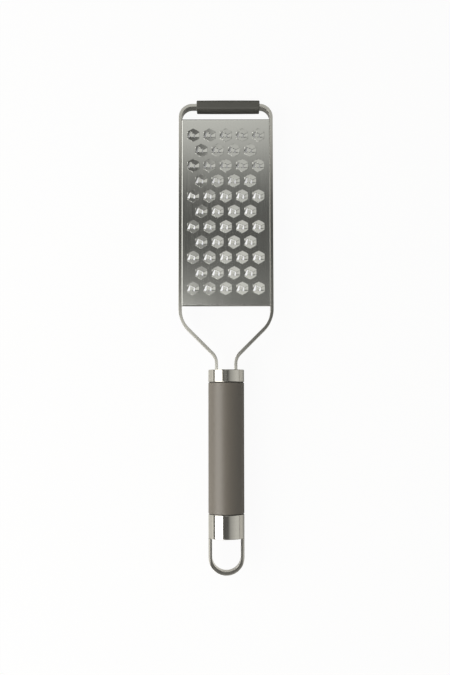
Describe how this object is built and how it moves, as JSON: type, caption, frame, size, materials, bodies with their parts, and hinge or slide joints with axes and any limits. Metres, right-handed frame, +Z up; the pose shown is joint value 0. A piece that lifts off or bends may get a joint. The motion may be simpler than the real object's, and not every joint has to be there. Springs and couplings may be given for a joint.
{
  "type": "hand grater",
  "caption": "Paddle hand grater: a toothed steel plate in a bent bar frame, on a round grip with steel ferrules, with a hanging loop and a rubber foot.",
  "frame": {"origin": "on the table that the handle and the foot rest on, below the middle of the grater's box", "axes": "+Y along the grater from the hanging loop to the foot, +Z up, out of the grating side, +X across the plate"},
  "size_m": [0.064, 0.32, 0.024],
  "materials": {
    "frame_steel": "satin bar with eased edges",
    "plate_steel": "fine brushed sheet with bright pressed teeth",
    "foot_rubber": "matt moulded rubber, dark grey",
    "ferrule_steel": "mirror polished stainless steel",
    "loop_steel": "polished strap with eased edges",
    "grip_plastic": "fine matt moulded plastic, warm grey",
    "tube_steel": "drawn tube",
    "block_plastic": "moulded, natural",
    "seal_rubber": "matt black rubber"
  },
  "bodies": {
    "root": {"frame_strip": "frame_steel", "grating_plate": "plate_steel", "foot_sleeve": "foot_rubber", "upper_ferrule": "ferrule_steel", "lower_ferrule": "ferrule_steel", "hang_loop": "loop_steel", "grip_sleeve": "grip_plastic", "core_tube": "tube_steel", "tail_block": "block_plastic", "upper_seal_ring": "seal_rubber", "lower_seal_ring": "seal_rubber"}
  },
  "joints": []
}
